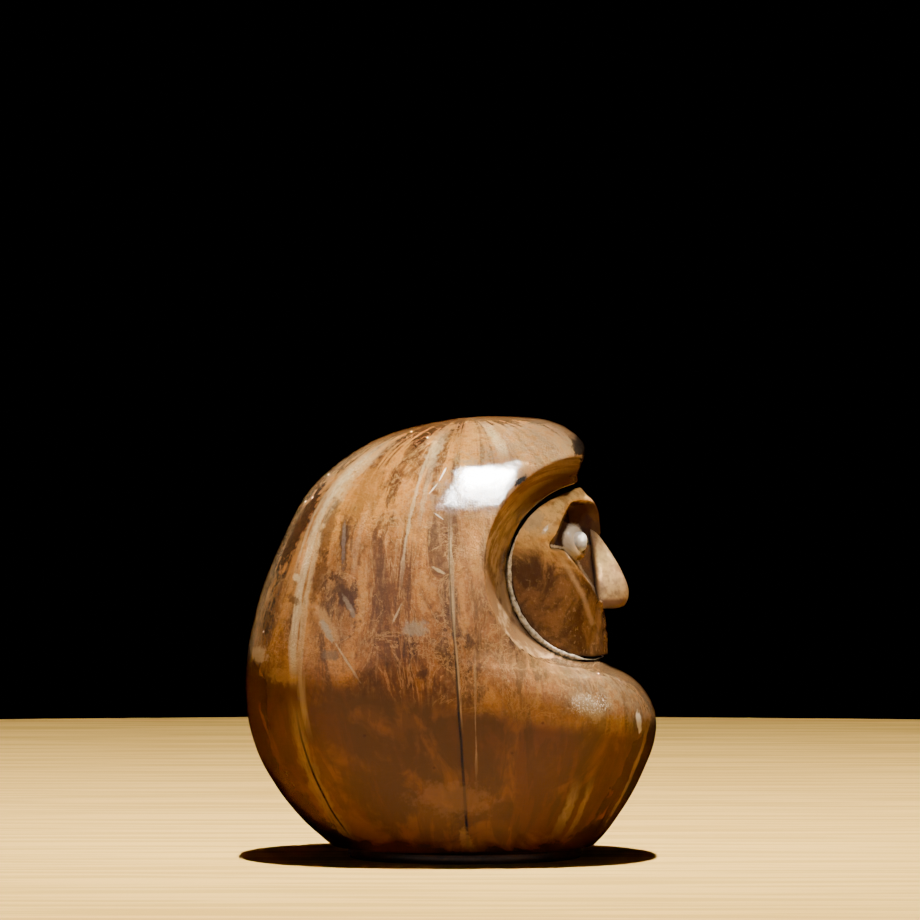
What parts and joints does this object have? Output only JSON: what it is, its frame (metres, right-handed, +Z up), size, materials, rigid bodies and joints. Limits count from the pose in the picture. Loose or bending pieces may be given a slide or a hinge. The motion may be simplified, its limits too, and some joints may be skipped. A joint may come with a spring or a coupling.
{
  "type": "carved daruma doll",
  "caption": "Small glossy hooded daruma doll carved from a hard brown nut, with a face let into the hood, a pale wedge nose and inlaid eyes, on a flat turned foot",
  "frame": {"origin": "middle of the doll's bounding box, on the ground under its foot", "axes": "+Z is up, the doll faces -Y, +X is the doll's left"},
  "size_m": [0.038, 0.0421, 0.045],
  "materials": {
    "nut_skin": "gloss",
    "carved_face": "gloss",
    "nut_ivory": "satin",
    "eye_bone": "gloss",
    "black_horn": "gloss",
    "pale_bead": "matte",
    "dowel_wood": "matte",
    "plug_wood": "satin"
  },
  "bodies": {
    "root": {"robe": "nut_skin", "face": "carved_face", "nose": "nut_ivory", "eye_left": "eye_bone", "eye_right": "eye_bone", "pupil_left": "black_horn", "pupil_right": "black_horn", "seat_bead": "pale_bead", "face_dowel": "dowel_wood", "base_plug": "plug_wood"}
  },
  "joints": []
}
